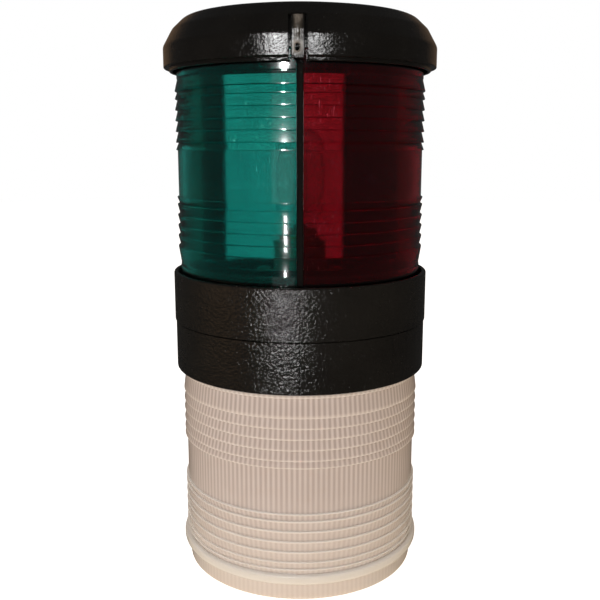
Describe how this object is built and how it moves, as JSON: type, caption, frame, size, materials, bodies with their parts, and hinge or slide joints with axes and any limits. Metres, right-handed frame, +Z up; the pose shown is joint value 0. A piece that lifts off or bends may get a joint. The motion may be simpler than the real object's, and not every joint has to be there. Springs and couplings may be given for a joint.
{
  "type": "navigation light",
  "caption": "Masthead light for a sailing boat: red, green and clear sector lens under a black cap, above an all-round milky white lens.",
  "frame": {"origin": "centre of the flat underside of the base plate", "axes": "+Z up along the light's axis; the bow side, where green meets red, faces -Y; the red sector is on +X"},
  "size_m": [0.112, 0.112, 0.2339],
  "materials": {
    "cap_plastic": "moulded black plastic, satin with a light grain and fine scratches",
    "collar_plastic": "moulded black plastic with a fine spark-eroded grain",
    "screen_plastic": "matt black moulded plastic",
    "socket_plastic": "off-white heat-resisting plastic",
    "base_plastic": "off-white moulded plastic, satin",
    "seal_rubber": "black sealing rubber, slightly dusty",
    "milk_lens": "milky white moulded acrylic, satin outside, fluted inside",
    "green_lens": "transparent blue-green moulded acrylic, glossy",
    "red_lens": "transparent deep red moulded acrylic, glossy",
    "clear_lens": "clear moulded acrylic, glossy",
    "bulb_glass": "thin clear blown glass",
    "bulb_nickel": "nickel-plated brass",
    "contact_brass": "pressed brass, lightly tarnished",
    "screw_steel": "stainless steel, machined",
    "spring_steel": "bright drawn spring wire",
    "tungsten": "coiled tungsten wire, dull grey",
    "wire_red": "red PVC wire insulation",
    "wire_black": "black PVC wire insulation"
  },
  "bodies": {
    "base": {"base_plate": "base_plastic", "base_o_ring": "seal_rubber", "cable_gland": "seal_rubber", "contact_strip_inner": "contact_brass", "contact_strip_outer": "contact_brass", "terminal_block": "base_plastic", "terminal_screw_1": "screw_steel", "terminal_screw_2": "screw_steel", "anchor_lampholder": "socket_plastic", "anchor_lampholder_screw_1": "screw_steel", "anchor_lampholder_screw_2": "screw_steel", "anchor_socket_shell": "contact_brass", "anchor_contact_spring": "spring_steel"},
    "anchor_contact": {"anchor_contact_plunger": "socket_plastic", "anchor_contact_pad_1": "contact_brass", "anchor_contact_pad_2": "contact_brass"},
    "anchor_bulb": {"anchor_bulb_cap": "bulb_nickel", "anchor_bulb_insulator": "screen_plastic", "anchor_bulb_glass": "bulb_glass", "anchor_bulb_stem": "bulb_glass", "anchor_filament_lead_1": "bulb_nickel", "anchor_filament_lead_2": "bulb_nickel", "anchor_filament": "tungsten"},
    "housing": {"anchor_lens": "milk_lens", "anchor_lens_seal": "seal_rubber", "retaining_ring": "collar_plastic", "middle_housing": "collar_plastic", "riser_tube": "socket_plastic", "feed_pin_1": "contact_brass", "feed_pin_2": "contact_brass", "riser_wire_1": "wire_red", "riser_wire_2": "wire_black", "red_lens": "red_lens", "stern_lens": "clear_lens", "green_lens": "green_lens", "bow_screen": "screen_plastic", "red_side_screen": "screen_plastic", "green_side_screen": "screen_plastic", "tricolour_lampholder": "socket_plastic", "tricolour_lampholder_screw_1": "screw_steel", "tricolour_lampholder_screw_2": "screw_steel", "tricolour_socket_shell": "contact_brass", "tricolour_contact_spring": "spring_steel"},
    "tricolour_contact": {"tricolour_contact_plunger": "socket_plastic", "tricolour_contact_pad_1": "contact_brass", "tricolour_contact_pad_2": "contact_brass"},
    "tricolour_bulb": {"tricolour_bulb_cap": "bulb_nickel", "tricolour_bulb_insulator": "screen_plastic", "tricolour_bulb_glass": "bulb_glass", "tricolour_bulb_stem": "bulb_glass", "tricolour_filament_lead_1": "bulb_nickel", "tricolour_filament_lead_2": "bulb_nickel", "tricolour_filament": "tungsten"},
    "cap": {"top_cap": "cap_plastic", "cap_seal": "seal_rubber"},
    "latch": {"cap_latch": "cap_plastic"}
  },
  "joints": [
    {"name": "housing_twist", "type": "hinge", "parent": "base", "child": "housing", "pos_m": [0, 0, 0], "axis": [0, 0, 1], "range_deg": [0, 20]},
    {"name": "cap_twist", "type": "hinge", "parent": "housing", "child": "cap", "pos_m": [0, 0, 0.21], "axis": [0, 0, 1], "range_deg": [0, 25]},
    {"name": "latch_flex", "type": "hinge", "parent": "cap", "child": "latch", "pos_m": [-0.0007, -0.0517, 0.2248], "axis": [-1, 0, 0], "range_deg": [0, 5], "stiffness_Nm_per_rad": 0.3},
    {"name": "anchor_bulb_push", "type": "slide", "parent": "base", "child": "anchor_contact", "axis": [0, 0, 1], "range_m": [-0.002, 0], "stiffness_N_per_m": 1500, "springref_m": 0.002, "deforming": ["anchor_contact_spring"]},
    {"name": "anchor_bulb_twist", "type": "hinge", "parent": "anchor_contact", "child": "anchor_bulb", "pos_m": [0, 0, 0], "axis": [0, 0, 1], "range_deg": [0, 25]},
    {"name": "tricolour_bulb_push", "type": "slide", "parent": "housing", "child": "tricolour_contact", "axis": [0, 0, 1], "range_m": [-0.002, 0], "stiffness_N_per_m": 1500, "springref_m": 0.002, "deforming": ["tricolour_contact_spring"]},
    {"name": "tricolour_bulb_twist", "type": "hinge", "parent": "tricolour_contact", "child": "tricolour_bulb", "pos_m": [0, 0, 0], "axis": [0, 0, 1], "range_deg": [0, 25]}
  ]
}
